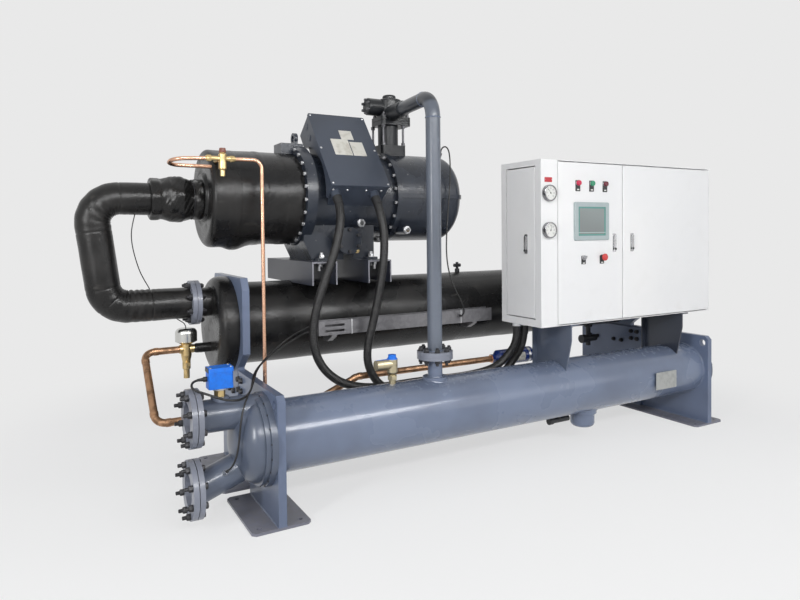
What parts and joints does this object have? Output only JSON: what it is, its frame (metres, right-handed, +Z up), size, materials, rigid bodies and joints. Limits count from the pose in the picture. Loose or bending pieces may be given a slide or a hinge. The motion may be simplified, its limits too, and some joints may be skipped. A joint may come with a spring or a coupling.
{
  "type": "water-cooled screw chiller",
  "caption": "Fixed water chiller: two vessels on legs, a screw compressor on beams above them, and a white control cabinet with hinged doors.",
  "frame": {"origin": "on the floor, under the middle of the machine's overall box", "axes": "+X along the vessels, from the water connections towards the cabinet; +Y to the rear; +Z up"},
  "size_m": [3.7418, 1.172, 2.078],
  "materials": {
    "vessel_paint": "semi-gloss grey-blue paint",
    "insulation": "smooth black foam insulation",
    "casting_paint": "semi-gloss dark slate paint",
    "cabinet_paint": "white powder coat",
    "copper": "bare copper tube",
    "brass": "machined brass",
    "cable_sheath": "black flexible conduit",
    "switch_plastic": "blue plastic",
    "drier_paint": "dark blue gloss paint",
    "gauge_face": "white dial behind glass in a chrome rim",
    "screen": "grey touch screen in a dark bezel",
    "lamp_lens": "coloured lamp lenses in metal bezels",
    "black_plastic": "black plastic",
    "red_plastic": "red plastic",
    "bare_metal": "bare metal plate"
  },
  "bodies": {
    "machine": {"cabinet_body": "cabinet_paint", "cabinet_supports": "vessel_paint", "cable_tray": "vessel_paint", "compressor_housing": "casting_paint", "compressor_motor_end": "insulation", "condenser_end_plate_left": "vessel_paint", "condenser_end_plate_right": "vessel_paint", "condenser_foot_left": "vessel_paint", "condenser_shell": "vessel_paint", "discharge_pipe": "vessel_paint", "discharge_valve": "casting_paint", "evaporator_end_plate_left": "vessel_paint", "evaporator_end_plate_right": "vessel_paint", "evaporator_foot_left": "vessel_paint", "evaporator_head_left": "insulation", "evaporator_head_right": "insulation", "evaporator_leg_left": "vessel_paint", "evaporator_leg_right": "vessel_paint", "evaporator_shell": "insulation", "expansion_valve": "brass", "filter_drier": "drier_paint", "flow_switch": "switch_plastic", "foot_right": "vessel_paint", "gauges": "gauge_face", "injection_line": "copper", "injection_valve": "brass", "lifting_eye": "casting_paint", "liquid_line": "copper", "lower_water_flanges": "vessel_paint", "mounting_beams": "vessel_paint", "nameplate": "bare_metal", "oil_separator": "casting_paint", "power_cable_left": "cable_sheath", "power_cable_right": "cable_sheath", "return_head": "vessel_paint", "riser_flanges": "vessel_paint", "safety_valve": "brass", "sensor_cable": "cable_sheath", "separator_cable": "cable_sheath", "service_valves": "casting_paint", "side_cover": "casting_paint", "suction_flanges": "vessel_paint", "suction_pipe": "insulation", "suction_valve": "insulation", "switch_cable": "cable_sheath", "terminal_box": "casting_paint", "upper_water_flanges": "vessel_paint", "water_head": "vessel_paint"},
    "left_door": {"left_door": "cabinet_paint", "left_door_latch": "black_plastic", "touch_screen": "screen", "pilot_lamps": "lamp_lens", "selector_switch": "black_plastic", "stop_button": "red_plastic"},
    "right_door": {"right_door": "cabinet_paint", "right_door_latch": "black_plastic"},
    "side_door": {"side_door": "cabinet_paint", "side_door_latch": "black_plastic"}
  },
  "joints": [
    {"name": "left_door_hinge", "type": "hinge", "parent": "machine", "child": "left_door", "pos_m": [0.468, -0.523, 1.189], "axis": [0, 0, -1], "range_deg": [0, 110]},
    {"name": "right_door_hinge", "type": "hinge", "parent": "machine", "child": "right_door", "pos_m": [1.767, -0.523, 1.189], "axis": [0, 0, 1], "range_deg": [0, 110]},
    {"name": "side_door_hinge", "type": "hinge", "parent": "machine", "child": "side_door", "pos_m": [0.345, -0.243, 1.189], "axis": [0, 0, -1], "range_deg": [0, 95]}
  ]
}
